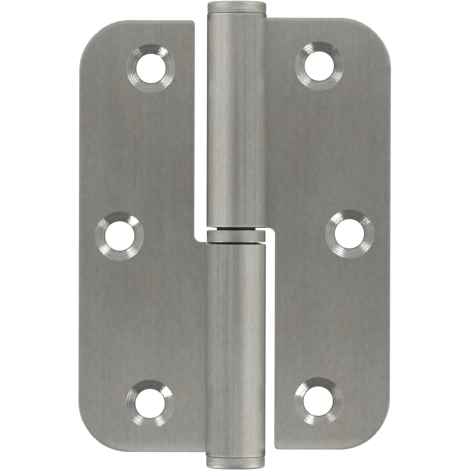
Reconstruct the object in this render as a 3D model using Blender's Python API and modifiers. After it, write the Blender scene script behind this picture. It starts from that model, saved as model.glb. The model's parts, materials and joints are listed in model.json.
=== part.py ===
"""A lift-off hinge of brushed stainless steel with two rolled leaves, laid open flat.

The pin's axis is the Z axis, and the origin is at the middle of the hinge. The countersunk faces look
towards -Y. The lower leaf lies towards -X and holds the pin. The upper leaf lies towards +X and lifts off.
Both leaves are drawn as the upper one, and the lower one is then turned half round about Y.
In a leaf's outline, u runs out from the pin's axis along X, and w runs up along Z.
"""

import math

import bmesh
import bpy
from mathutils import Matrix, Vector

MM = 0.001

# Sheet and leaf
SHEET_THICKNESS = 2.1 * MM
LEAF_HEIGHT = 89.0 * MM
LEAF_RISE = 0.3 * MM  # how far the leaf's middle lies towards its own knuckle's end
NARROW_WIDTH = 23.8 * MM  # from the slot beside the other knuckle to the outer edge
UPPER_SLOT = 1.85 * MM  # between the upper leaf and the lower knuckle
LOWER_SLOT = 2.5 * MM  # between the lower leaf and the upper knuckle
OUTER_CORNER_RADIUS = 10.4 * MM
FREE_CORNER_RADIUS = 0.8 * MM
SLOT_CORNER_RADIUS = 1.4 * MM
EDGE_RADIUS = 0.2 * MM

# Screw holes
HOLE_DIAMETER = 6.0 * MM
COUNTERSINK_DIAMETER = 10.0 * MM
MIDDLE_HOLE_INSET = 8.4 * MM  # from the outer edge to the middle hole
END_HOLE_INSET = 14.75 * MM  # from the outer edge to the holes near the leaf's ends
END_HOLE_DROP = 9.9 * MM  # from the leaf's end to the hole near it

# Pin and rolled knuckle
PIN_DIAMETER = 8.0 * MM
PIN_CLEARANCE = 0.04 * MM  # all round, in the knuckles
PIN_HEADROOM = 9.0 * MM  # from the pin's nose to the top cap's spigot
PIN_NOSE = 2.2 * MM
PIN_END_GAP = 0.3 * MM  # from the pin's foot to the bottom cap's spigot
KNUCKLE_PROUD = 0.6 * MM  # how far the knuckle stands past the leaf's end
FACE_SETBACK = 1.1 * MM  # from the pin's axis back to the countersunk face
BEND_RADIUS = 4.0 * MM  # middle of the sheet, where it leaves the leaf for the roll
CREVICE = 0.15 * MM  # between the end of the roll and the leaf
DRAW_IN = 0.6 * MM  # how far the outer side of the roll draws back from the knuckle's inner end

# Thrust ring
RING_THICKNESS = 2.35 * MM
RING_SETBACK = 0.09 * MM  # from the knuckle's side in to the ring's
RING_EDGE_RADIUS = 0.25 * MM
RING_BORE_CLEARANCE = 0.1 * MM
RING_SEAT_GAP = 0.15 * MM
RING_TOP_GAP = 0.4 * MM

# Caps
CAP_THICKNESS = 2.2 * MM
CAP_SETBACK = 0.09 * MM  # from the knuckle's side in to the cap's
CAP_EDGE_RADIUS = 0.65 * MM
CAP_INNER_EDGE_RADIUS = 0.2 * MM
CAP_GAP = 0.3 * MM
SPIGOT_LENGTH = 5.0 * MM  # inside the knuckle
SPIGOT_CHAMFER = 0.4 * MM

# How finely the shapes are drawn
ROUND_STEPS = 64
ROLL_STEP = 2 * math.pi / ROUND_STEPS
HOLE_STEPS = 48
EDGE_STEPS = 2  # facets round a quarter turn of the sheet's edge
ARC_ERROR = 0.008 * MM  # how far a drawn arc may lie from its chords
FLAT_BELOW = math.radians(0.5)
SMOOTH_BELOW = math.radians(30)
MERGE_DISTANCE = 0.01 * MM
PAST = 1.0 * MM  # how far a cutter stands past what it cuts

# Worked out from the sizes above
BORE_RADIUS = PIN_DIAMETER / 2 + PIN_CLEARANCE
KNUCKLE_RADIUS = BORE_RADIUS + SHEET_THICKNESS
SHEET_MIDDLE = FACE_SETBACK + SHEET_THICKNESS / 2
KNUCKLE_START = (RING_SEAT_GAP + RING_THICKNESS + RING_TOP_GAP) / 2
LEAF_TOP = LEAF_RISE + LEAF_HEIGHT / 2
LEAF_BOTTOM = LEAF_RISE - LEAF_HEIGHT / 2
KNUCKLE_END = LEAF_TOP + KNUCKLE_PROUD
SPIGOT_END = KNUCKLE_END - SPIGOT_LENGTH


def clear_scene():
    for item in list(bpy.data.objects):
        bpy.data.objects.remove(item)


def new_collection(name):
    collection = bpy.data.collections.new(name)
    bpy.context.scene.collection.children.link(collection)
    return collection


def steel(name, colour, roughness):
    material = bpy.data.materials.new(name)
    material.use_nodes = True
    shader = material.node_tree.nodes["Principled BSDF"]
    shader.inputs["Base Color"].default_value = (*colour, 1)
    shader.inputs["Roughness"].default_value = roughness
    shader.inputs["Metallic"].default_value = 1
    return material


def arc(centre, radius, start, end):
    """Points on an arc from one angle to the other, with both its ends."""
    steps = math.ceil(abs(end - start) / (2 * math.acos(1 - ARC_ERROR / radius)))
    angles = [start + (end - start) * i / steps for i in range(steps + 1)]
    return [centre + radius * Vector((math.cos(a), math.sin(a))) for a in angles]


def rounded_outline(corners):
    """The points of a closed outline. Each corner is (u, w, radius), and a radius of 0 stays sharp."""
    points = []
    for i, (u, w, radius) in enumerate(corners):
        corner = Vector((u, w))
        if not radius:
            points.append(corner)
            continue
        before = (Vector(corners[i - 1][:2]) - corner).normalized()
        after = (Vector(corners[(i + 1) % len(corners)][:2]) - corner).normalized()
        half = before.angle(after) / 2
        centre = corner + (before + after).normalized() * radius / math.sin(half)
        first = corner + before * radius / math.tan(half) - centre
        last = corner + after * radius / math.tan(half) - centre
        start = math.atan2(first.y, first.x)
        turn = math.atan2(last.y, last.x) - start
        turn = (turn + math.pi) % (2 * math.pi) - math.pi
        points += arc(centre, radius, start, start + turn)
    return points


def finish_mesh(mesh):
    mesh.shade_smooth()
    mesh.set_sharp_from_angle(angle=SMOOTH_BELOW)


def from_bmesh(name, shape, collection):
    mesh = bpy.data.meshes.new(name)
    shape.to_mesh(mesh)
    shape.free()
    finish_mesh(mesh)
    item = bpy.data.objects.new(name, mesh)
    collection.objects.link(item)
    return item


def apply_modifiers(item):
    """Keeps the finished shape as the object's mesh, so that its sharp edges can be marked."""
    graph = bpy.context.evaluated_depsgraph_get()
    mesh = bpy.data.meshes.new_from_object(item.evaluated_get(graph))
    item.modifiers.clear()
    item.data = mesh
    finish_mesh(mesh)


def turned(name, profile, collection, closed=False, steps=ROUND_STEPS):
    """A profile of (radius, height) points, run down its outer side, turned about Z."""
    shape = bmesh.new()
    points = [shape.verts.new((radius, 0, height)) for radius, height in profile]
    for first, second in zip(points, points[1:]):
        shape.edges.new((first, second))
    if closed:
        shape.edges.new((points[-1], points[0]))
    item = from_bmesh(name, shape, collection)
    screw = item.modifiers.new("Turn", "SCREW")
    screw.axis = "Z"
    screw.steps = steps
    screw.render_steps = steps
    screw.use_merge_vertices = True
    screw.merge_threshold = MERGE_DISTANCE
    apply_modifiers(item)
    return item


def flat_plate(name, points, thickness, edge_radius, collection):
    """A plate with this outline in X and Z and with rounded edges, its middle at y = 0."""
    curve = bpy.data.curves.new(name, "CURVE")
    curve.dimensions = "2D"
    curve.fill_mode = "BOTH"
    curve.extrude = thickness / 2 - edge_radius
    curve.bevel_depth = edge_radius
    curve.offset = -edge_radius
    curve.bevel_resolution = EDGE_STEPS - 1
    line = curve.splines.new("POLY")
    line.points.add(len(points) - 1)
    for place, point in zip(line.points, points):
        place.co = (point.x, point.y, 0, 1)
    line.use_cyclic_u = True
    drawn = bpy.data.objects.new(name, curve)
    collection.objects.link(drawn)
    graph = bpy.context.evaluated_depsgraph_get()
    mesh = bpy.data.meshes.new_from_object(drawn.evaluated_get(graph))
    bpy.data.objects.remove(drawn)
    shape = bmesh.new()
    shape.from_mesh(mesh)
    bpy.data.meshes.remove(mesh)
    bmesh.ops.remove_doubles(shape, verts=shape.verts, dist=MERGE_DISTANCE)
    bmesh.ops.dissolve_limit(shape, angle_limit=FLAT_BELOW, verts=shape.verts, edges=shape.edges)
    bmesh.ops.rotate(shape, verts=shape.verts, matrix=Matrix.Rotation(math.pi / 2, 3, "X"))
    return shape


def cut(item, cutter):
    modifier = item.modifiers.new("Cut " + cutter.name, "BOOLEAN")
    modifier.operation = "DIFFERENCE"
    modifier.solver = "EXACT"
    modifier.object = cutter
    cutter.hide_render = True
    cutter.display_type = "WIRE"


class Roll:
    """Where the flat blank goes when its tab is bent back behind the pin and rolled round it."""

    radius = KNUCKLE_RADIUS - SHEET_THICKNESS / 2
    bend_centre_y = SHEET_MIDDLE + BEND_RADIUS
    bend_u = math.sqrt((BEND_RADIUS + radius) ** 2 - bend_centre_y**2)
    start_angle = math.atan2(bend_centre_y, bend_u)
    end_angle = 2 * math.pi + math.asin((FACE_SETBACK - CREVICE) / KNUCKLE_RADIUS)
    bend_angle = math.pi / 2 - start_angle
    bend_length = bend_angle * BEND_RADIUS
    roll_u = bend_u - bend_length
    tab_end_u = roll_u - (end_angle - start_angle) * radius

    @classmethod
    def stations(cls):
        """The places along the flat blank where it is creased, so that each stretch stays flat."""
        bend_steps = math.ceil(cls.bend_angle / ROLL_STEP)
        roll_steps = math.ceil((cls.end_angle - cls.start_angle) / ROLL_STEP)
        bend = [cls.bend_u + (cls.roll_u - cls.bend_u) * i / bend_steps for i in range(bend_steps)]
        roll = [cls.roll_u + (cls.tab_end_u - cls.roll_u) * i / roll_steps for i in range(roll_steps)]
        return bend + roll

    @classmethod
    def place(cls, u, depth):
        """X and Y of a point of the blank. The depth is measured back from the middle of the sheet."""
        if u >= cls.bend_u:
            return u, SHEET_MIDDLE + depth
        if u >= cls.roll_u:
            angle = (cls.bend_u - u) / BEND_RADIUS
            radius = BEND_RADIUS - depth
            return cls.bend_u - radius * math.sin(angle), cls.bend_centre_y - radius * math.cos(angle)
        angle = cls.start_angle + (cls.roll_u - u) / cls.radius
        return (cls.radius + depth) * math.cos(angle), (cls.radius + depth) * math.sin(angle)


def blank_outline(slot):
    """The flat blank's outline from the front, with the tab that is rolled."""
    inner_edge = KNUCKLE_RADIUS + slot
    outer_edge = inner_edge + NARROW_WIDTH
    return rounded_outline(
        [
            (Roll.tab_end_u, KNUCKLE_START, 0),
            (inner_edge, KNUCKLE_START, SLOT_CORNER_RADIUS),
            (inner_edge, LEAF_BOTTOM, FREE_CORNER_RADIUS),
            (outer_edge, LEAF_BOTTOM, OUTER_CORNER_RADIUS),
            (outer_edge, LEAF_TOP, OUTER_CORNER_RADIUS),
            (KNUCKLE_RADIUS, LEAF_TOP, 0),
            (KNUCKLE_RADIUS, KNUCKLE_END, 0),
            (Roll.tab_end_u, KNUCKLE_END, 0),
        ]
    )


def rolled_sheet(name, slot, collection):
    """The blank with its tab rolled.

    Rolling stretches the outer side of the sheet, which draws it in at the knuckle's inner end,
    most on the side away from the leaf.
    """
    shape = flat_plate(name, blank_outline(slot), SHEET_THICKNESS, EDGE_RADIUS, collection)
    for u in Roll.stations():
        geometry = shape.verts[:] + shape.edges[:] + shape.faces[:]
        bmesh.ops.bisect_plane(shape, geom=geometry, plane_co=(u, 0, 0), plane_no=(1, 0, 0))
    inner_end_rows = KNUCKLE_START + 2 * EDGE_RADIUS
    for point in shape.verts:
        u, depth, height = point.co
        x, y = Roll.place(u, depth)
        if u < Roll.bend_u and height < inner_end_rows:
            away_from_leaf = (1 - math.cos(math.atan2(y, x))) / 2
            outer_side = depth / SHEET_THICKNESS + 0.5
            height += DRAW_IN * away_from_leaf * outer_side
        point.co = (x, y, height)
    bmesh.ops.recalc_face_normals(shape, faces=shape.faces)
    return from_bmesh(name, shape, collection)


def screw_hole_cutter(name, place_u, place_w, collection):
    """A through hole with a 90 degree countersink in the front face."""
    hole = HOLE_DIAMETER / 2
    sink = COUNTERSINK_DIAMETER / 2
    bottom = -SHEET_THICKNESS - sink
    profile = [(0, PAST), (sink + PAST, PAST), (hole, hole - sink), (hole, bottom), (0, bottom)]
    cutter = turned(name, profile, collection, steps=HOLE_STEPS)
    cutter.rotation_euler.x = math.pi / 2
    cutter.location = (place_u, FACE_SETBACK, place_w)
    return cutter


def rolled_leaf(name, slot, parts, cutters):
    """A leaf with its knuckle, as one bent sheet."""
    outer_edge = KNUCKLE_RADIUS + slot + NARROW_WIDTH
    holes = {
        "top": (END_HOLE_INSET, LEAF_TOP - END_HOLE_DROP),
        "middle": (MIDDLE_HOLE_INSET, LEAF_RISE),
        "bottom": (END_HOLE_INSET, LEAF_BOTTOM + END_HOLE_DROP),
    }
    leaf = rolled_sheet(name, slot, parts)
    for place, (inset, height) in holes.items():
        cutter = screw_hole_cutter(f"{name}_{place}_hole", outer_edge - inset, height, cutters)
        cutter.parent = leaf
        cut(leaf, cutter)
    apply_modifiers(leaf)
    return leaf


def hinge_pin(parts):
    """A plain pin that stands on z = 0, with a nose for hanging the door on it."""
    radius = PIN_DIAMETER / 2
    length = 2 * SPIGOT_END - PIN_END_GAP - PIN_HEADROOM
    shoulder = Vector((radius - PIN_NOSE, length - PIN_NOSE))
    nose = arc(shoulder, PIN_NOSE, math.pi / 2, 0)
    foot = [(radius, SPIGOT_CHAMFER), (radius - SPIGOT_CHAMFER, 0), (0, 0)]
    return turned("hinge_pin", [(0, length), *nose, *foot], parts)


def thrust_ring(parts):
    """The ring between the knuckles, which stands on z = 0."""
    edge = RING_EDGE_RADIUS
    edge_centre = KNUCKLE_RADIUS - RING_SETBACK - edge
    bore = PIN_DIAMETER / 2 + RING_BORE_CLEARANCE
    top_edge = arc(Vector((edge_centre, RING_THICKNESS - edge)), edge, math.pi / 2, 0)
    bottom_edge = arc(Vector((edge_centre, edge)), edge, 0, -math.pi / 2)
    profile = [*top_edge, *bottom_edge, (bore, 0), (bore, RING_THICKNESS)]
    return turned("thrust_ring", profile, parts, closed=True)


def end_cap(name, parts):
    """A cap that stands on z = 0 with its spigot below."""
    radius = KNUCKLE_RADIUS - CAP_SETBACK
    outer_edge_centre = Vector((radius - CAP_EDGE_RADIUS, CAP_THICKNESS - CAP_EDGE_RADIUS))
    inner_edge_centre = Vector((radius - CAP_INNER_EDGE_RADIUS, CAP_INNER_EDGE_RADIUS))
    spigot = PIN_DIAMETER / 2
    spigot_end = -SPIGOT_LENGTH - CAP_GAP
    profile = [
        (0, CAP_THICKNESS),
        *arc(outer_edge_centre, CAP_EDGE_RADIUS, math.pi / 2, 0),
        *arc(inner_edge_centre, CAP_INNER_EDGE_RADIUS, 0, -math.pi / 2),
        (spigot, 0),
        (spigot, spigot_end + SPIGOT_CHAMFER),
        (spigot - SPIGOT_CHAMFER, spigot_end),
        (0, spigot_end),
    ]
    return turned(name, profile, parts)


def empty(name, collection):
    item = bpy.data.objects.new(name, None)
    item.empty_display_size = LEAF_HEIGHT / 4
    collection.objects.link(item)
    return item


def build():
    clear_scene()
    parts = new_collection("lift_off_hinge")
    cutters = new_collection("cutters")
    cutters.hide_render = True

    frame_side = empty("frame_side", parts)
    door_side = empty("door_side", parts)

    lower_leaf = rolled_leaf("lower_leaf", LOWER_SLOT, parts, cutters)
    lower_leaf.rotation_euler.y = math.pi
    upper_leaf = rolled_leaf("upper_leaf", UPPER_SLOT, parts, cutters)

    pin = hinge_pin(parts)
    pin.location.z = PIN_END_GAP - SPIGOT_END
    ring = thrust_ring(parts)
    ring.location.z = RING_SEAT_GAP - KNUCKLE_START

    top_cap = end_cap("top_cap", parts)
    top_cap.location.z = KNUCKLE_END + CAP_GAP
    bottom_cap = end_cap("bottom_cap", parts)
    bottom_cap.location.z = -KNUCKLE_END - CAP_GAP
    bottom_cap.rotation_euler.y = math.pi

    for item in (lower_leaf, pin, bottom_cap):
        item.parent = frame_side
    for item in (upper_leaf, top_cap, ring):
        item.parent = door_side

    finishes = {
        lower_leaf: ("lower_leaf_steel", (0.42, 0.41, 0.38), 0.38),
        upper_leaf: ("upper_leaf_steel", (0.42, 0.41, 0.38), 0.38),
        pin: ("pin_steel", (0.36, 0.36, 0.35), 0.25),
        ring: ("ring_steel", (0.5, 0.49, 0.46), 0.3),
        top_cap: ("top_cap_steel", (0.52, 0.52, 0.49), 0.3),
        bottom_cap: ("bottom_cap_steel", (0.52, 0.52, 0.49), 0.3),
    }
    for item, (name, colour, roughness) in finishes.items():
        item.data.materials.append(steel(name, colour, roughness))


build()
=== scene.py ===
"""The looks of a lift-off hinge of brushed stainless steel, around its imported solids.

Each solid gets a finer mesh of the same form in its place. The frame's axes hold: the pin's axis is Z,
the countersunk faces look towards -Y, the lower leaf lies towards -X and the upper one towards +X.
Both leaves are drawn as the upper one, from a flat blank on which u runs out from the pin's axis along X,
and the lower one is then turned half round about Y.
"""

import json
import math

import bmesh
import bpy
from mathutils import Matrix, Vector


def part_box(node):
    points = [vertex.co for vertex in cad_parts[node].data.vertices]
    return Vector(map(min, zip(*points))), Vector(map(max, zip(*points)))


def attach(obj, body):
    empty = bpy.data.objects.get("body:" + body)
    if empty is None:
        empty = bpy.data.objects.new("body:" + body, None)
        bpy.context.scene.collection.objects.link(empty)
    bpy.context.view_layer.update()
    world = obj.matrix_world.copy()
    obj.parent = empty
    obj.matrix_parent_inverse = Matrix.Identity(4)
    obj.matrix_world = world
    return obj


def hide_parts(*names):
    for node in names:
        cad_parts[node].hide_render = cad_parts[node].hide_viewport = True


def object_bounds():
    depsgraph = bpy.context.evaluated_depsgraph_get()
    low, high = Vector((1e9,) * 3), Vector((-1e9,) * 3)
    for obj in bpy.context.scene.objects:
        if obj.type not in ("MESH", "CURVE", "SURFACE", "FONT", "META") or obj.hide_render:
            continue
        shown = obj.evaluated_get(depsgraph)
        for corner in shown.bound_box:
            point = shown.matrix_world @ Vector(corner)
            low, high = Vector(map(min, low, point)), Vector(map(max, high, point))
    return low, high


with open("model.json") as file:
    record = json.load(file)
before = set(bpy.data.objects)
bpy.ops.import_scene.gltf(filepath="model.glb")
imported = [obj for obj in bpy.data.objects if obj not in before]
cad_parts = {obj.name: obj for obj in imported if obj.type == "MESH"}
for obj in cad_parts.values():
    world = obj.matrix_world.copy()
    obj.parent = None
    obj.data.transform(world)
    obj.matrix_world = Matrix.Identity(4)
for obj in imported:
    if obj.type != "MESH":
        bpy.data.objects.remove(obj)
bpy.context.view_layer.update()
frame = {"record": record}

MM = 0.001

# Sheet and leaf
SHEET_THICKNESS = 2.1 * MM
FACE_SETBACK = 1.1 * MM  # from the pin's axis back to the leaf's face
SHEET_MIDDLE = FACE_SETBACK + SHEET_THICKNESS / 2
LEAF_HEIGHT = 89.0 * MM
LEAF_RISE = 0.3 * MM  # of the upper leaf's middle above the hinge's
LEAF_TOP = LEAF_RISE + LEAF_HEIGHT / 2
LEAF_BOTTOM = LEAF_RISE - LEAF_HEIGHT / 2
NARROW_WIDTH = 23.8 * MM  # from the slot beside the other knuckle to the outer edge
OUTER_CORNER_RADIUS = 10.4 * MM
FREE_CORNER_RADIUS = 0.8 * MM
SLOT_CORNER_RADIUS = 1.4 * MM
BLANK_CORNER_RADIUS = 0.2 * MM

# Edges of the sheet: the press rolled the front one over
ROLL_OVER_WIDTH = 0.9 * MM
ROLL_OVER_DEPTH = 0.15 * MM
BACK_EDGE_RADIUS = 0.15 * MM
# The share of these widths at the slot and at the knuckle's ends
SLOT_EDGE = 0.3
KNUCKLE_EDGE = 0.1

# Screw holes
HOLE_RADIUS = 3.0 * MM
COUNTERSINK_RADIUS = 5.0 * MM
CONE_SLANT = math.radians(45)
RIM_BREAK = 0.06 * MM
RIM_BREAK_INWARD = 0.3  # the share of it that lies down the cone
LIP_RADIUS = 0.12 * MM

# The grooves that the tool left down a countersink's cone
GROOVE_PITCH = 0.24 * MM
GROOVE_SLOPE = math.radians(20)
GROOVE_STEPS = 6
GROOVE_UNEVENNESS = 0.25  # how far their depths spread to both sides of the middle one
GROOVE_TURN = 2.4  # radians from one groove to the next, in the sine that sets their depths

# Knuckle
KNUCKLE_RADIUS = 6.14 * MM
KNUCKLE_START = 1.45 * MM
KNUCKLE_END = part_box("upper_leaf")[1].z
NECK_U = 6.02 * MM  # where the leaf's end meets the knuckle's side
BEND_RADIUS = 4.0 * MM
CREVICE = 0.15 * MM
LOWER_DRAW_IN = 0.48 * MM
UPPER_DRAW_IN = 0.22 * MM
DRAW_IN_RISE = 3  # how soon the back is drawn in, away from its own leaf

# Caps
CAP_THICKNESS = 2.2 * MM
CAP_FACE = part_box("top_cap")[1].z - CAP_THICKNESS
CAP_EDGE_RADIUS = 0.65 * MM
CAP_INNER_EDGE_RADIUS = 0.06 * MM
# The shoulder nearly closes the groove between the cap and the knuckle
SHOULDER_SETBACK = 0.07 * MM
SHOULDER_HEIGHT = 0.17 * MM
SPIGOT_CHAMFER = 0.4 * MM

# Ring and pin
RING_EDGE_RADIUS = 0.18 * MM
RING_CLEARANCE = 0.1 * MM  # all round the pin
# The ring rests on the lower knuckle, so its lower and upper faces lie this much lower than the solid's
RING_LOWER_DROP = 0.15 * MM
RING_UPPER_DROP = 0.06 * MM
PIN_NOSE_RADIUS = 2.2 * MM
PIN_CHAMFER = 0.4 * MM

# Colours of the steels, and the two tints between which each one drifts
LEAF_COLOUR = (0.638, 0.630, 0.580)
KNUCKLE_COLOUR = (0.637, 0.630, 0.594)
COUNTERSINK_COLOUR = (0.62, 0.61, 0.575)
CAP_COLOUR = (0.615, 0.62, 0.58)
RING_COLOUR = (0.60, 0.595, 0.56)
# The pin's near-black colour is painted shade, for the shade in the narrow gaps round it
PIN_PAINTED_SHADE_COLOUR = (0.04, 0.04, 0.04)
WARM_TINT = (1.016, 0.997, 0.958)
COOL_TINT = (0.989, 1.003, 1.024)
TINT_CHANGE = (0.35, 0.65)  # the part of the noise in which warm turns into cool

# Roughness, how much the patterns change it, and how strongly the grooves stretch reflections
LEAF_ROUGHNESS = 0.325
COUNTERSINK_ROUGHNESS = 0.17
CAP_ROUGHNESS = 0.55
RING_ROUGHNESS = 0.34
PIN_ROUGHNESS = 0.3
ROUGHNESS_BY_STREAKS = 0.03
ROUGHNESS_BY_CLOUDS = 0.04
ROUGHNESS_BY_RINGS = 0.1
BRUSHED_ANISOTROPY = 0.6
TURNED_ANISOTROPY = 0.15
QUARTER_TURN = 0.25

# Depth of the fine grooves
BRUSHED_DEPTH = 0.005 * MM
COUNTERSINK_DEPTH = 0.003 * MM
TURNED_DEPTH = 0.006 * MM
GROUND_DEPTH = 0.003 * MM
STREAKS_IN_RELIEF = 0.3  # next to the grain's 1

# How fine each pattern is, in spots per metre along X, Y and Z or in rings per metre, and its detail
LEAF_GRAIN = ((1500, 1500, 950), 3)
LEAF_STREAKS = ((1500, 1500, 20), 2)
LEAF_CLOUDS = ((90, 90, 60), 4)
LEAF_TINTS = ((110, 110, 70), 3)
COUNTERSINK_RINGS = (2800, 2)
COUNTERSINK_CLOUDS = ((200, 200, 200), 2)
FINE_RINGS = (3600, 3)
WIDE_RINGS = (1500, 1)
TURNED_CLOUDS = ((200, 200, 200), 2)
# How fast rings drift along X, Y and Z
COUNTERSINK_DRIFT = (200, 200, 200)
TURNED_DRIFT = (260, 260, 0)

# How much the patterns change a tone of 1
GRAIN_CONTRAST = 0.34
STREAK_CONTRAST = 0.12
KNUCKLE_STREAK_CONTRAST = 0.24  # on top of the leaf's
LEAF_CLOUD_CONTRAST = 0.24
COUNTERSINK_RING_CONTRAST = 0.6
COUNTERSINK_CLOUD_CONTRAST = 0.3
TURNED_CLOUD_CONTRAST = 0.2
CAP_CONTRAST = 0.75
RING_CONTRAST = 0.2
PIN_CONTRAST = 0.1

# How much lighter or darker some places are than the rest, and between which limits this changes: the
# knuckle's own lift, then painted highlights and painted shade
KNUCKLE_LIFT = 0.12
KNUCKLE_LIMITS = (KNUCKLE_RADIUS + 0.02 * MM, KNUCKLE_RADIUS + 0.12 * MM)
KNUCKLE_END_HIGHLIGHT = 0.25
OUTER_END_LIMITS = (KNUCKLE_END - 0.45 * MM, KNUCKLE_END - 0.25 * MM)
INNER_END_LIMITS = (KNUCKLE_START + 0.45 * MM, KNUCKLE_START + 0.75 * MM)
LOWER_END_PAINTED_LIGHT = 0.27
LOWER_END_LIMITS = (0.2 * MM, 2.8 * MM)
RIM_HIGHLIGHT = 0.06
RIM_LIMITS = (COUNTERSINK_RADIUS - 0.2 * MM, COUNTERSINK_RADIUS)
LAND_PAINTED_SHADE = 0.45
LAND_LIMITS = (HOLE_RADIUS + 0.1 * MM, HOLE_RADIUS + 0.3 * MM)
# The knuckle's band of painted shade and its painted shade at both sides, with limits from its middle at 0
# to its sides at 1
BAND_PAINTED_SHADE = 0.38
BAND_START_LIMITS = (0.08, 0.34)
BAND_END_LIMITS = (0.62, 0.82)
BAND_END_LOSS = 0.5
SIDE_LIMITS = (0.84, 1.0)
SIDE_SHADE_SHARE = 0.35

# How finely the shapes are drawn
ROUND_STEPS = 128
HOLE_STEPS = 96
CORNER_STEPS = 10
OUTER_CORNER_STEPS = 40
EDGE_STEPS = 6
LIP_STEPS = 4
CAP_EDGE_STEPS = 8
CAP_INNER_EDGE_STEPS = 5
RING_EDGE_STEPS = 6
PIN_NOSE_STEPS = 16
MERGE_DISTANCE = 0.002 * MM
SMALLEST_RADIUS = MERGE_DISTANCE * 5
SHARP_ANGLE = math.radians(40)
PAST = 1.0 * MM  # how far a cutter reaches past the sheet


class Signal:
    """An output of a node. Arithmetic on it adds Math nodes."""

    def __init__(self, nodes, output):
        self.nodes = nodes
        self.output = output

    def math(self, operation, *values):
        return self.nodes.add("Math", {"operation": operation}, dict(enumerate((self, *values))))

    def __add__(self, other):
        return self.math("ADD", other)

    def __sub__(self, other):
        return self.math("SUBTRACT", other)

    def __mul__(self, other):
        return self.math("MULTIPLY", other)

    def __truediv__(self, other):
        return self.math("DIVIDE", other)

    def __rsub__(self, other):
        return self.nodes.add("Math", {"operation": "SUBTRACT"}, {0: other, 1: self})

    __radd__ = __add__
    __rmul__ = __mul__

    def size(self):
        """The value without its sign."""
        return self.math("ABSOLUTE")

    def sign(self):
        return self.math("SIGN")

    def between(self, low, high):
        """0 at low and 1 at high, with a smooth change between them."""
        settings = {"interpolation_type": "SMOOTHSTEP"}
        return self.nodes.add("MapRange", settings, {"Value": self, "From Min": low, "From Max": high})

    def swing(self, contrast):
        """A pattern's swing to both sides of its middle."""
        return (self - 0.5) * contrast

    def sibling(self, name):
        """Another output of the same node."""
        return Signal(self.nodes, self.output.node.outputs[name])


class Nodes:
    """A node tree, and the one way in which nodes are added to it."""

    def __init__(self, tree):
        self.tree = tree

    def add(self, kind, settings=None, inputs=None, output=0):
        node = self.tree.nodes.new("ShaderNode" + kind)
        for name, value in (settings or {}).items():
            setattr(node, name, value)
        self.connect(node, inputs or {})
        return Signal(self, node.outputs[output]) if node.outputs else None

    def connect(self, node, inputs):
        for name, value in inputs.items():
            if isinstance(value, Signal):
                self.tree.links.new(value.output, node.inputs[name])
            else:
                node.inputs[name].default_value = value

    def vector(self, operation, *values):
        return self.add("VectorMath", {"operation": operation}, dict(enumerate(values)))

    def scaled(self, vector, factor):
        """A vector or colour times a number."""
        return self.add("VectorMath", {"operation": "SCALE"}, {0: vector, "Scale": factor})

    def split(self, vector):
        """The three parts of a vector."""
        first = self.add("SeparateXYZ", {}, {0: vector})
        return [first.sibling(name) for name in "XYZ"]

    def join(self, x, y, z):
        return self.add("CombineXYZ", {}, {0: x, 1: y, 2: z})

    def noise(self, position, detail):
        return self.add("TexNoise", {}, {"Vector": position, "Scale": 1.0, "Detail": detail})

    def spots(self, position, fineness, detail):
        """Noise that is this fine along X, Y and Z."""
        return self.noise(self.vector("MULTIPLY", position, fineness), detail)

    def rings(self, drift, out, along, fineness, detail):
        """Noise in rings round an axis, from how far out and along it a point is. They drift slowly."""
        place = self.join(out * fineness, 0.0, along * fineness)
        return self.noise(self.vector("ADD", drift, place), detail)

    def blend(self, factor, first, second):
        """A mix of two colours."""
        settings = {"data_type": "RGBA"}
        return self.add("Mix", settings, {"Factor": factor, 6: first, 7: second}, output=2)

    def shade(self, values):
        """Gives the material's shader these values."""
        self.connect(self.tree.nodes["Principled BSDF"], values)


def steel(name, anisotropy, turn=0.0):
    """A new metal material and its nodes."""
    material = bpy.data.materials.new(name)
    material.use_nodes = True
    nodes = Nodes(material.node_tree)
    nodes.shade({"Metallic": 1.0, "Anisotropic": anisotropy, "Anisotropic Rotation": turn})
    return material, nodes


def tinted(colour, tint):
    return (*(part * change for part, change in zip(colour, tint)), 1.0)


def warm_and_cool(nodes, colour, cloud):
    """A metal's colour, which drifts a little between a warm tint and a cool one."""
    return nodes.blend(cloud.between(*TINT_CHANGE), tinted(colour, WARM_TINT), tinted(colour, COOL_TINT))


def put_finish(nodes, colour, tone, roughness, height, depth):
    """Links a finish to the shader. Tone 1 is the colour as it is, and depth is the grooves' depth."""
    normal = nodes.add("Bump", {}, {"Strength": 1.0, "Distance": depth, "Height": height})
    nodes.shade({"Base Color": nodes.scaled(colour, tone), "Roughness": roughness, "Normal": normal})


def knuckle_tone(x, z):
    """What the knuckle's tone has on top of the leaf's: its own lift, painted shade and painted highlights.
    """
    # Painted shade: a darker band runs along the side where the knuckle joins its own leaf, and both sides
    # are darker
    to_leaf = x * z.sign() / KNUCKLE_RADIUS
    shade_band = to_leaf.between(*BAND_START_LIMITS) * (1 - to_leaf.between(*BAND_END_LIMITS) * BAND_END_LOSS)
    shade_band = shade_band + to_leaf.size().between(*SIDE_LIMITS) * SIDE_SHADE_SHARE
    # Painted highlights: both ends are brighter
    height = z.size()
    end_highlights = height.between(*OUTER_END_LIMITS) + (1 - height.between(*INNER_END_LIMITS))
    return KNUCKLE_LIFT - shade_band * BAND_PAINTED_SHADE + end_highlights * KNUCKLE_END_HIGHLIGHT


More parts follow.
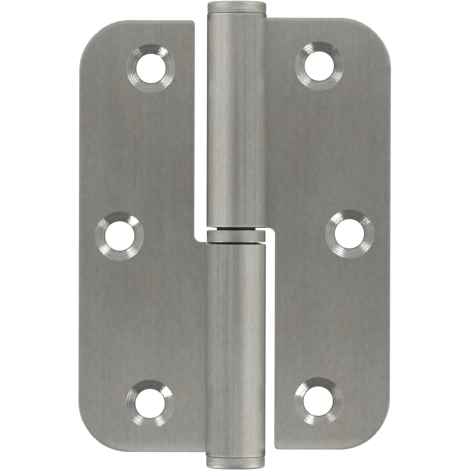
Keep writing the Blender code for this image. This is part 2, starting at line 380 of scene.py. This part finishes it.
def leaf_steel():
    """Sheet steel, brushed along the pin on the leaf and on the knuckle alike."""
    material, nodes = steel("leaf_steel", BRUSHED_ANISOTROPY)
    position = nodes.add("TexCoord", output="Object")
    x, y, z = nodes.split(position)
    grain = nodes.spots(position, *LEAF_GRAIN)
    streaks = nodes.spots(position, *LEAF_STREAKS)
    cloud = nodes.spots(position, *LEAF_CLOUDS)
    tint = nodes.spots(position, *LEAF_TINTS)

    radius = (x * x + y * y).math("SQRT")
    on_knuckle = 1 - radius.between(*KNUCKLE_LIMITS)
    # Painted light: both leaves are brighter along their lower ends, which lie twice LEAF_RISE apart
    from_end = z - x.sign() * LEAF_RISE + LEAF_HEIGHT / 2
    lower_end_light = (1 - from_end.between(*LOWER_END_LIMITS)) * (1 - on_knuckle)

    tone = 1 + grain.swing(GRAIN_CONTRAST) + cloud.swing(LEAF_CLOUD_CONTRAST)
    tone = tone + streaks.swing(STREAK_CONTRAST + on_knuckle * KNUCKLE_STREAK_CONTRAST)
    tone = tone + on_knuckle * knuckle_tone(x, z) + lower_end_light * LOWER_END_PAINTED_LIGHT
    rough = LEAF_ROUGHNESS + streaks.swing(ROUGHNESS_BY_STREAKS) + cloud.swing(ROUGHNESS_BY_CLOUDS)
    leaf_colour = warm_and_cool(nodes, LEAF_COLOUR, tint)
    colour = nodes.blend(on_knuckle, leaf_colour, warm_and_cool(nodes, KNUCKLE_COLOUR, tint))
    put_finish(nodes, colour, tone, rough, grain + streaks * STREAKS_IN_RELIEF, BRUSHED_DEPTH)
    return material


def countersink_steel():
    """The turned face of a countersink, with rings round its own hole."""
    material, nodes = steel("countersink_steel", 0.0)
    from_hole = nodes.add("Attribute", {"attribute_name": "from_hole"}, output="Vector")
    x, _, z = nodes.split(from_hole)
    radius = (x * x + z * z).math("SQRT")
    drift = nodes.vector("MULTIPLY", from_hole, COUNTERSINK_DRIFT)
    rings = nodes.rings(drift, radius, 0.0, *COUNTERSINK_RINGS)
    cloud = nodes.spots(from_hole, *COUNTERSINK_CLOUDS)
    # Painted highlight: a lighter ring round the rim
    rim = radius.between(*RIM_LIMITS)
    # Painted shade: a darker ring at the lip, where the cone turns down into the hole
    land_shade = 1 - radius.between(*LAND_LIMITS)
    tone = 1 + rings.swing(COUNTERSINK_RING_CONTRAST) + cloud.swing(COUNTERSINK_CLOUD_CONTRAST)
    tone = tone + rim * RIM_HIGHLIGHT - land_shade * LAND_PAINTED_SHADE
    rough = COUNTERSINK_ROUGHNESS + rings.swing(ROUGHNESS_BY_RINGS)
    colour = warm_and_cool(nodes, COUNTERSINK_COLOUR, cloud)
    put_finish(nodes, colour, tone, rough, rings, COUNTERSINK_DEPTH)
    return material


def turned_steel(name, colour, roughness, contrast, depth):
    """Steel turned on a lathe about Z, with fine rings round its sides and faces."""
    material, nodes = steel(name, TURNED_ANISOTROPY, QUARTER_TURN)
    position = nodes.add("TexCoord", output="Object")
    x, y, z = nodes.split(position)
    radius = (x * x + y * y).math("SQRT")
    drift = nodes.vector("MULTIPLY", position, TURNED_DRIFT)
    fine = nodes.rings(drift, radius, z, *FINE_RINGS)
    wide = nodes.rings(drift, radius, z, *WIDE_RINGS)
    cloud = nodes.spots(position, *TURNED_CLOUDS)
    tone = 1 + fine.swing(contrast) + wide.swing(contrast) + cloud.swing(TURNED_CLOUD_CONTRAST)
    rough = roughness + wide.swing(ROUGHNESS_BY_RINGS)
    put_finish(nodes, warm_and_cool(nodes, colour, cloud), tone, rough, fine + wide, depth)
    return material


def arc(centre, radius, start, end, steps):
    """Points on an arc from one angle to the other, with both its ends."""
    angles = [start + (end - start) * i / steps for i in range(steps + 1)]
    return [centre + radius * Vector((math.cos(a), math.sin(a))) for a in angles]


def rounded_outline(corners):
    """The points of a closed outline of (corner, radius, steps)."""
    points = []
    for i, (corner, radius, steps) in enumerate(corners):
        before = (corners[i - 1][0] - corner).normalized()
        after = (corners[(i + 1) % len(corners)][0] - corner).normalized()
        half = before.angle(after) / 2
        centre = corner + (before + after).normalized() * radius / math.sin(half)
        first = corner + before * radius / math.tan(half) - centre
        last = corner + after * radius / math.tan(half) - centre
        start = math.atan2(first.y, first.x)
        turn = math.atan2(last.y, last.x) - start
        turn = (turn + math.pi) % (2 * math.pi) - math.pi
        points += arc(centre, radius, start, start + turn, steps)
    return points


class Roll:
    """Where the flat blank goes when its tab is bent back behind the pin and rolled round it."""

    radius = KNUCKLE_RADIUS - SHEET_THICKNESS / 2
    bend_centre_y = SHEET_MIDDLE + BEND_RADIUS
    bend_u = math.sqrt((BEND_RADIUS + radius) ** 2 - bend_centre_y**2)
    start_angle = math.atan2(bend_centre_y, bend_u)
    end_angle = 2 * math.pi + math.asin((FACE_SETBACK - CREVICE) / KNUCKLE_RADIUS)
    bend_angle = math.pi / 2 - start_angle
    bend_length = bend_angle * BEND_RADIUS
    roll_u = bend_u - bend_length
    tab_end_u = roll_u - (end_angle - start_angle) * radius

    @classmethod
    def stations(cls):
        """The places along the flat blank where it is creased."""
        step = 2 * math.pi / ROUND_STEPS
        bend_steps = math.ceil(cls.bend_angle / step)
        roll_steps = math.ceil((cls.end_angle - cls.start_angle) / step)
        bend = [cls.bend_u + (cls.roll_u - cls.bend_u) * i / bend_steps for i in range(bend_steps)]
        roll = [cls.roll_u + (cls.tab_end_u - cls.roll_u) * i / roll_steps for i in range(roll_steps)]
        return bend + roll

    @classmethod
    def place(cls, u, depth):
        """X and Y of a point of the blank. The depth is measured back from the middle of the sheet."""
        if u >= cls.bend_u:
            return u, SHEET_MIDDLE + depth
        if u >= cls.roll_u:
            angle = (cls.bend_u - u) / BEND_RADIUS
            radius = BEND_RADIUS - depth
            return cls.bend_u - radius * math.sin(angle), cls.bend_centre_y - radius * math.cos(angle)
        angle = cls.start_angle + (cls.roll_u - u) / cls.radius
        return (cls.radius + depth) * math.cos(angle), (cls.radius + depth) * math.sin(angle)


def blank_outline(slot, inset):
    """The flat blank's outline, moved in from its edge. The slot is beside the other knuckle."""
    inner = KNUCKLE_RADIUS + slot
    outer = inner + NARROW_WIDTH
    small = (BLANK_CORNER_RADIUS, CORNER_STEPS)
    free = (FREE_CORNER_RADIUS, CORNER_STEPS)
    wide = (OUTER_CORNER_RADIUS, OUTER_CORNER_STEPS)
    slot_round = (SLOT_CORNER_RADIUS, CORNER_STEPS)
    # Each corner, its share of the way in, whether it is hollow, and its rounding
    corners = [
        ((Roll.tab_end_u, KNUCKLE_START), (KNUCKLE_EDGE, KNUCKLE_EDGE), False, small),
        ((inner, KNUCKLE_START), (SLOT_EDGE, KNUCKLE_EDGE), True, slot_round),
        ((inner, LEAF_BOTTOM), (SLOT_EDGE, 1), False, free),
        ((outer, LEAF_BOTTOM), (-1, 1), False, wide),
        ((outer, LEAF_TOP), (-1, -1), False, wide),
        ((NECK_U, LEAF_TOP), (-KNUCKLE_EDGE, -1), True, small),
        ((NECK_U, KNUCKLE_END), (-KNUCKLE_EDGE, -KNUCKLE_EDGE), False, small),
        ((Roll.tab_end_u, KNUCKLE_END), (KNUCKLE_EDGE, -KNUCKLE_EDGE), False, small),
    ]
    moved = []
    for corner, inward, hollow, (radius, steps) in corners:
        change = inset * min(abs(inward[0]), abs(inward[1]))
        radius = radius + change if hollow else max(radius - change, SMALLEST_RADIUS)
        moved.append((Vector(corner) + Vector(inward) * inset, radius, steps))
    return rounded_outline(moved)


def edge_profile():
    """(inset, depth) down the sheet's edge, whose front is rolled over and whose back is rounded."""
    half = SHEET_THICKNESS / 2
    profile = []
    for i in range(EDGE_STEPS + 1):
        slope = math.pi / 2 * i / EDGE_STEPS
        turn = math.atan2(ROLL_OVER_DEPTH * math.cos(slope), ROLL_OVER_WIDTH * math.sin(slope))
        inset = ROLL_OVER_WIDTH * (1 - math.cos(turn))
        profile.append((inset, -half + ROLL_OVER_DEPTH * (1 - math.sin(turn))))
    for i in range(EDGE_STEPS + 1):
        turn = math.pi / 2 * i / EDGE_STEPS
        inset = BACK_EDGE_RADIUS * (1 - math.cos(turn))
        profile.append((inset, half - BACK_EDGE_RADIUS * (1 - math.sin(turn))))
    return profile


def flat_blank(slot):
    """The blank with its worked edges, as a closed shape."""
    shape = bmesh.new()
    rings = []
    for inset, depth in edge_profile():
        rings.append([shape.verts.new((p.x, depth, p.y)) for p in blank_outline(slot, inset)])
    for ring, following in zip(rings, rings[1:]):
        count = len(ring)
        for i in range(count):
            j = (i + 1) % count
            shape.faces.new((ring[i], ring[j], following[j], following[i]))
    shape.faces.new(rings[0])
    shape.faces.new(rings[-1])
    return shape


def rolled_blank(slot, draw_in):
    """The blank with its tab rolled, and its outer side drawn in at the knuckle's inner end."""
    shape = flat_blank(slot)
    for u in Roll.stations():
        geometry = shape.verts[:] + shape.edges[:] + shape.faces[:]
        bmesh.ops.bisect_plane(shape, geom=geometry, plane_co=(u, 0, 0), plane_no=(1, 0, 0))
    inner_end = KNUCKLE_START + ROLL_OVER_WIDTH + MERGE_DISTANCE
    for point in shape.verts:
        u, depth, height = point.co
        x, y = Roll.place(u, depth)
        if u < Roll.bend_u and height < inner_end:
            # In full along the front, and less and less along the back towards its own leaf
            angle = math.atan2(y, x)
            share = 1 if y < 0 else min(1, (1 - math.cos(angle)) * DRAW_IN_RISE)
            height += draw_in * share * (depth / SHEET_THICKNESS + 0.5)
        point.co = (x, y, height)
    bmesh.ops.remove_doubles(shape, verts=shape.verts, dist=MERGE_DISTANCE)
    bmesh.ops.recalc_face_normals(shape, faces=shape.faces)
    return shape


def mesh_object(name, shape):
    """An object of this shape, in the scene. The shape is used up."""
    mesh = bpy.data.meshes.new(name)
    shape.to_mesh(mesh)
    shape.free()
    item = bpy.data.objects.new(name, mesh)
    bpy.context.scene.collection.objects.link(item)
    return item


def turned_shape(profile, steps=ROUND_STEPS):
    """A closed or axis-to-axis profile of (radius, height) points, turned about Z."""
    shape = bmesh.new()
    points = [shape.verts.new((radius, 0, height)) for radius, height in profile]
    for first, second in zip(points, points[1:]):
        shape.edges.new((first, second))
    geometry = shape.verts[:] + shape.edges[:]
    bmesh.ops.spin(shape, geom=geometry, axis=(0, 0, 1), cent=(0, 0, 0), steps=steps, angle=2 * math.pi)
    bmesh.ops.remove_doubles(shape, verts=shape.verts, dist=MERGE_DISTANCE)
    bmesh.ops.recalc_face_normals(shape, faces=shape.faces)
    return shape


def turned_cone(start, end):
    """The grooves that the tool left down a cone, between its ends, each of its own depth."""
    along = (end - start).normalized()
    across = Vector((along.y, -along.x))
    count = round((end - start).length / GROOVE_PITCH)
    deepest = GROOVE_PITCH / (2 * math.pi) * math.tan(GROOVE_SLOPE)
    points = []
    for i in range(1, count * GROOVE_STEPS):
        turns = i / GROOVE_STEPS
        unevenness = GROOVE_UNEVENNESS * math.sin(GROOVE_TURN * int(turns + 0.5))
        depth = deepest * (1 - GROOVE_UNEVENNESS + unevenness)
        place = start.lerp(end, turns / count)
        points.append(place + across * depth * math.sin(2 * math.pi * turns))
    return points


def hole_profile():
    """Down a countersunk hole: its broken rim, the cone, the lip where the cone meets the hole."""
    rim = Vector((COUNTERSINK_RADIUS, 0))
    inward = Vector((RIM_BREAK, RIM_BREAK)) * RIM_BREAK_INWARD
    rim_break = [rim + Vector((RIM_BREAK, 0)), rim - inward]
    cone_depth = COUNTERSINK_RADIUS - HOLE_RADIUS
    back = LIP_RADIUS * math.tan(CONE_SLANT / 2)
    lip_centre = Vector((HOLE_RADIUS + LIP_RADIUS, -cone_depth - back))
    lip = arc(lip_centre, LIP_RADIUS, math.pi - CONE_SLANT, math.pi, LIP_STEPS)
    cone = turned_cone(rim_break[-1], lip[0])
    lower = Vector((HOLE_RADIUS, -SHEET_THICKNESS - PAST))
    upper = Vector((COUNTERSINK_RADIUS + RIM_BREAK, PAST))
    return [Vector((0, PAST)), upper, *rim_break, *cone, *lip, lower, Vector((0, lower.y))]


def countersunk_holes(name, holes):
    """One cutter for all the holes of a leaf, as an object."""
    every = bmesh.new()
    for x, z in holes:
        hole = turned_shape(hole_profile(), HOLE_STEPS)
        place = Matrix.Translation((x, FACE_SETBACK, z)) @ Matrix.Rotation(math.pi / 2, 4, "X")
        hole.transform(place)
        single = bpy.data.meshes.new(name)
        hole.to_mesh(single)
        hole.free()
        every.from_mesh(single)
        bpy.data.meshes.remove(single)
    return mesh_object(name, every)


def smooth(item):
    """Smooth shading that leaves the flat faces flat."""
    item.data.shade_smooth()
    item.data.set_sharp_from_angle(angle=SHARP_ANGLE)
    weigh = item.modifiers.new("Flat faces", "WEIGHTED_NORMAL")
    weigh.keep_sharp = True
    weigh.weight = 100


def leaf_holes(leaf_name):
    """The places of a leaf's screw holes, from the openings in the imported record."""
    holes = []
    for opening in frame["record"]["physics"]["openings"]:
        if opening["name"].startswith(leaf_name):
            low, high = opening["box_m"]
            holes.append(((low[0] + high[0]) / 2, (low[2] + high[2]) / 2))
    return holes


def mark_countersinks(mesh, holes):
    """Gives the holes' faces the second material, and each point its place from the nearest hole's axis."""
    from_hole = mesh.attributes.new("from_hole", "FLOAT_VECTOR", "POINT")
    nearest = []
    for point in mesh.vertices:
        x, z = min(holes, key=lambda hole: math.hypot(point.co.x - hole[0], point.co.z - hole[1]))
        offset = point.co - Vector((x, FACE_SETBACK, z))
        from_hole.data[point.index].vector = offset
        nearest.append(math.hypot(offset.x, offset.z))
    rim = COUNTERSINK_RADIUS + RIM_BREAK + MERGE_DISTANCE
    for face in mesh.polygons:
        in_hole = all(nearest[i] < rim for i in face.vertices)
        face.material_index = int(in_hole)


def make_leaf(leaf_name, turned_over, draw_in, materials):
    """A leaf with its knuckle, in place of the solid of that name."""
    low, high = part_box(leaf_name)
    reach = max(-low.x, high.x)
    slot = reach - NARROW_WIDTH - KNUCKLE_RADIUS
    shape = rolled_blank(slot, draw_in)
    if turned_over:
        shape.transform(Matrix.Rotation(math.pi, 4, "Y"))
    leaf = mesh_object(leaf_name + "_brushed", shape)
    holes = leaf_holes(leaf_name)
    cutter = countersunk_holes(leaf_name + "_holes", holes)
    modifier = leaf.modifiers.new("Screw holes", "BOOLEAN")
    modifier.operation = "DIFFERENCE"
    modifier.object = cutter
    graph = bpy.context.evaluated_depsgraph_get()
    mesh = bpy.data.meshes.new_from_object(leaf.evaluated_get(graph))
    leaf.modifiers.clear()
    leaf.data = mesh
    bpy.data.objects.remove(cutter)
    for material in materials:
        mesh.materials.append(material)
    mark_countersinks(mesh, holes)
    smooth(leaf)
    return leaf


def make_turned(name, profile, base, up, material):
    """A turned piece, whose profile starts at base and runs up along Z or down."""
    shape = turned_shape(profile)
    place = Matrix.Translation((0, 0, base))
    if not up:
        place = place @ Matrix.Rotation(math.pi, 4, "X")
    shape.transform(place)
    item = mesh_object(name, shape)
    item.data.materials.append(material)
    smooth(item)
    return item


def outer_edge(radius, height, rounding, steps):
    """The rounded edge at the top of a turned piece's side, from its face down to its side."""
    centre = Vector((radius - rounding, height - rounding))
    return arc(centre, rounding, math.pi / 2, 0, steps)


def lower_outer_edge(radius, rounding, steps):
    """The rounded edge at the bottom of a turned piece's side, from its side to its face at height 0."""
    return arc(Vector((radius - rounding, rounding)), rounding, 0, -math.pi / 2, steps)


def cap_profile(radius, spigot_radius, spigot_length):
    return [
        Vector((0, CAP_THICKNESS)),
        *outer_edge(radius, CAP_THICKNESS, CAP_EDGE_RADIUS, CAP_EDGE_STEPS),
        *lower_outer_edge(radius, CAP_INNER_EDGE_RADIUS, CAP_INNER_EDGE_STEPS),
        Vector((radius - SHOULDER_SETBACK, 0)),
        Vector((radius - SHOULDER_SETBACK, -SHOULDER_HEIGHT)),
        Vector((spigot_radius, -SHOULDER_HEIGHT)),
        Vector((spigot_radius, SPIGOT_CHAMFER - spigot_length)),
        Vector((spigot_radius - SPIGOT_CHAMFER, -spigot_length)),
        Vector((0, -spigot_length)),
    ]


def ring_profile(radius, bore, thickness):
    return [
        *outer_edge(radius, thickness, RING_EDGE_RADIUS, RING_EDGE_STEPS),
        *lower_outer_edge(radius, RING_EDGE_RADIUS, RING_EDGE_STEPS),
        Vector((bore, 0)),
        Vector((bore, thickness)),
        Vector((radius - RING_EDGE_RADIUS, thickness)),
    ]


def pin_profile(radius, length):
    return [
        Vector((0, length)),
        *outer_edge(radius, length, PIN_NOSE_RADIUS, PIN_NOSE_STEPS),
        Vector((radius, PIN_CHAMFER)),
        Vector((radius - PIN_CHAMFER, 0)),
        Vector((0, 0)),
    ]


def dress(item, node, body):
    """Puts a piece on its body in a solid's place, and hides that solid."""
    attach(item, body)
    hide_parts(node)


def make_leaves():
    """The two leaves, each with its rolled knuckle."""
    materials = [leaf_steel(), countersink_steel()]
    lower = make_leaf("lower_leaf", True, LOWER_DRAW_IN, materials)
    dress(lower, "lower_leaf", "frame_side")
    upper = make_leaf("upper_leaf", False, UPPER_DRAW_IN, materials)
    dress(upper, "upper_leaf", "door_side")


def make_pin():
    """The pin with its rounded nose. Its radius comes back."""
    # Its near-black colour is painted shade
    material = turned_steel("pin_steel", PIN_PAINTED_SHADE_COLOUR, PIN_ROUGHNESS, PIN_CONTRAST, GROUND_DEPTH)
    low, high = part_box("hinge_pin")
    pin = make_turned("hinge_pin_ground", pin_profile(high.x, high.z - low.z), low.z, True, material)
    dress(pin, "hinge_pin", "frame_side")
    return high.x


def make_ring(pin_radius):
    """The loose ring on the pin, between the two knuckles."""
    material = turned_steel("ring_steel", RING_COLOUR, RING_ROUGHNESS, RING_CONTRAST, TURNED_DEPTH)
    low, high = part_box("thrust_ring")
    base = low.z - RING_LOWER_DROP
    profile = ring_profile(high.x, pin_radius + RING_CLEARANCE, high.z - RING_UPPER_DROP - base)
    ring = make_turned("thrust_ring_turned", profile, base, True, material)
    dress(ring, "thrust_ring", "ring")


def make_caps(spigot_radius):
    """The two caps, each with its spigot in its knuckle's bore."""
    material = turned_steel("cap_steel", CAP_COLOUR, CAP_ROUGHNESS, CAP_CONTRAST, TURNED_DEPTH)
    low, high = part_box("top_cap")
    profile = cap_profile(high.x, spigot_radius, CAP_FACE - low.z)
    top = make_turned("top_cap_turned", profile, CAP_FACE, True, material)
    dress(top, "top_cap", "door_side")
    low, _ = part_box("bottom_cap")
    bottom = make_turned("bottom_cap_turned", profile, low.z + CAP_THICKNESS, False, material)
    dress(bottom, "bottom_cap", "frame_side")


def make_hinge():
    make_leaves()
    pin_radius = make_pin()
    make_ring(pin_radius)
    make_caps(pin_radius)


# The photograph's view, in pixels of its 470 px frame
FRAME_PX = 470
FOCAL_PX = 3790
MM_PER_PX = 0.2057
AIM_X_PX = -1.2
HORIZON_PX = 34
ROLL_DEGREES = 0.17
SENSOR = 36.0
CLIP_START = 0.05
CLIP_END = 20


def make_camera():
    """The camera, a little above the level of the hinge's middle."""
    data = bpy.data.cameras.new("camera")
    data.sensor_width = SENSOR
    data.lens = SENSOR * FOCAL_PX / FRAME_PX
    data.clip_start = CLIP_START
    data.clip_end = CLIP_END
    camera = bpy.data.objects.new("camera", data)
    bpy.context.scene.collection.objects.link(camera)
    bpy.context.scene.camera = camera
    aim = Vector((AIM_X_PX * MM_PER_PX * MM, 0, 0))
    elevation = math.atan2(HORIZON_PX, FOCAL_PX)
    back = Vector((0, -math.cos(elevation), math.sin(elevation)))
    camera.location = aim + back * FOCAL_PX * MM_PER_PX * MM
    level = (-back).to_track_quat("-Z", "Y").to_matrix()
    turn = level @ Matrix.Rotation(math.radians(ROLL_DEGREES), 3, "Z")
    camera.rotation_euler = turn.to_euler()


# Each lamp's place and width in metres, and its radiance
LAMPS = {
    "lamp_upper_left": ((-0.110, -0.06, 0.112), 0.06, 2.3),
    "lamp_lower_left": ((-0.158, -0.035, -0.143), 0.07, 5.8),
    "lamp_upper_right": ((0.088, -0.06, 0.105), 0.06, 2.4),
    "lamp_lower_right": ((0.104, -0.03, -0.096), 0.06, 3.1),
    "lamp_above": ((0.0, -0.30, 0.095), 0.08, 0.6),
    "lamp_below": ((0.0, -0.30, -0.078), 0.08, 0.65),
}

# How bright the studio is, what its darker sides take away and what the floor's glow adds. The limits
# of these are angles from the hinge's front, or heights of a direction from -1 to 1
STUDIO_LEVEL = 0.67
FRONT_LIMITS = (math.radians(-5), math.radians(40))
LOW_DIMNESS = 0.5
LOW_LIMITS = (-0.75, -0.1)
HIGH_DIMNESS = 0.14
HIGH_LIMITS = (0.15, 0.9)
BACK_DIMNESS = 0.63
BACK_LIMITS = (math.radians(84), math.radians(140))
BACK_HEIGHT_LIMITS = (0.1, 0.32)
BACK_HEIGHT_LOSS = 0.95
FLOOR_GLOW = 0.35
GLOW_LIMITS = (math.radians(100), math.radians(125))
GLOW_DROP = 0.4
GLOW_HEIGHT_LIMITS = (0.12, 0.26)
DIMMEST = 0.03

# The white ground and the white floor
WHITE = (1, 1, 1, 1)
WHITE_LEVEL = 1.05
FLOOR_HALF_WIDTH = 3
FLOOR_GAP = 0.5 * MM


def lamp(name, place, size, radiance):
    """A soft square lamp that looks at the hinge."""
    data = bpy.data.lights.new(name, "AREA")
    data.shape = "SQUARE"
    data.size = size
    data.energy = radiance * math.pi * size * size
    item = bpy.data.objects.new(name, data)
    bpy.context.scene.collection.objects.link(item)
    item.location = Vector(place)
    item.rotation_euler = Vector(place).to_track_quat("Z", "Y").to_euler()
    item.visible_camera = False


def studio_light(nodes):
    """How bright the studio is in each direction."""
    _, y, z = nodes.split(nodes.add("TexCoord", output="Generated"))
    from_front = (y * -1.0).math("ARCCOSINE")
    # It is dark straight in front of the hinge, and bright all round from there
    round_front = from_front.between(*FRONT_LIMITS)
    # It is less bright below, above, and level behind the hinge
    low = 1 - z.between(*LOW_LIMITS)
    high = z.between(*HIGH_LIMITS)
    behind = from_front.between(*BACK_LIMITS)
    behind = behind * (1 - z.size().between(*BACK_HEIGHT_LIMITS) * BACK_HEIGHT_LOSS)
    level = STUDIO_LEVEL - low * LOW_DIMNESS - high * HIGH_DIMNESS - behind * BACK_DIMNESS
    # The pale floor behind the hinge lights its back
    floor_glow = from_front.between(*GLOW_LIMITS)
    floor_glow = floor_glow * (1 - (z + GLOW_DROP).size().between(*GLOW_HEIGHT_LIMITS))
    return round_front * level + floor_glow * FLOOR_GLOW


def make_world():
    """The studio's light. The camera itself sees plain white all round."""
    world = bpy.data.worlds.new("studio")
    bpy.context.scene.world = world
    world.use_nodes = True
    world.node_tree.nodes.clear()
    nodes = Nodes(world.node_tree)
    level = studio_light(nodes).math("MAXIMUM", DIMMEST)
    fill = nodes.add("Background", {}, {"Color": WHITE, "Strength": level})
    white = nodes.add("Background", {}, {"Color": WHITE, "Strength": WHITE_LEVEL})
    seen = nodes.add("LightPath", output="Is Camera Ray")
    both = nodes.add("MixShader", {}, {0: seen, 1: fill, 2: white})
    nodes.add("OutputWorld", {}, {"Surface": both})


def make_floor():
    """A white floor just under the hinge."""
    low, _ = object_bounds()
    shape = bmesh.new()
    bmesh.ops.create_grid(shape, x_segments=1, y_segments=1, size=FLOOR_HALF_WIDTH)
    floor = mesh_object("floor", shape)
    floor.location.z = low.z - FLOOR_GAP
    material = bpy.data.materials.new("floor_white")
    material.use_nodes = True
    material.node_tree.nodes.clear()
    nodes = Nodes(material.node_tree)
    glow = nodes.add("Emission", {}, {"Color": WHITE, "Strength": WHITE_LEVEL})
    nodes.add("OutputMaterial", {}, {"Surface": glow})
    floor.data.materials.append(material)
    floor.visible_glossy = False
    floor.visible_diffuse = False
    floor.visible_shadow = False


def make_studio():
    bpy.context.scene.view_settings.view_transform = "Standard"
    make_world()
    for name, (place, size, radiance) in LAMPS.items():
        lamp(name, place, size, radiance)
    make_floor()


make_camera()
make_hinge()
make_studio()
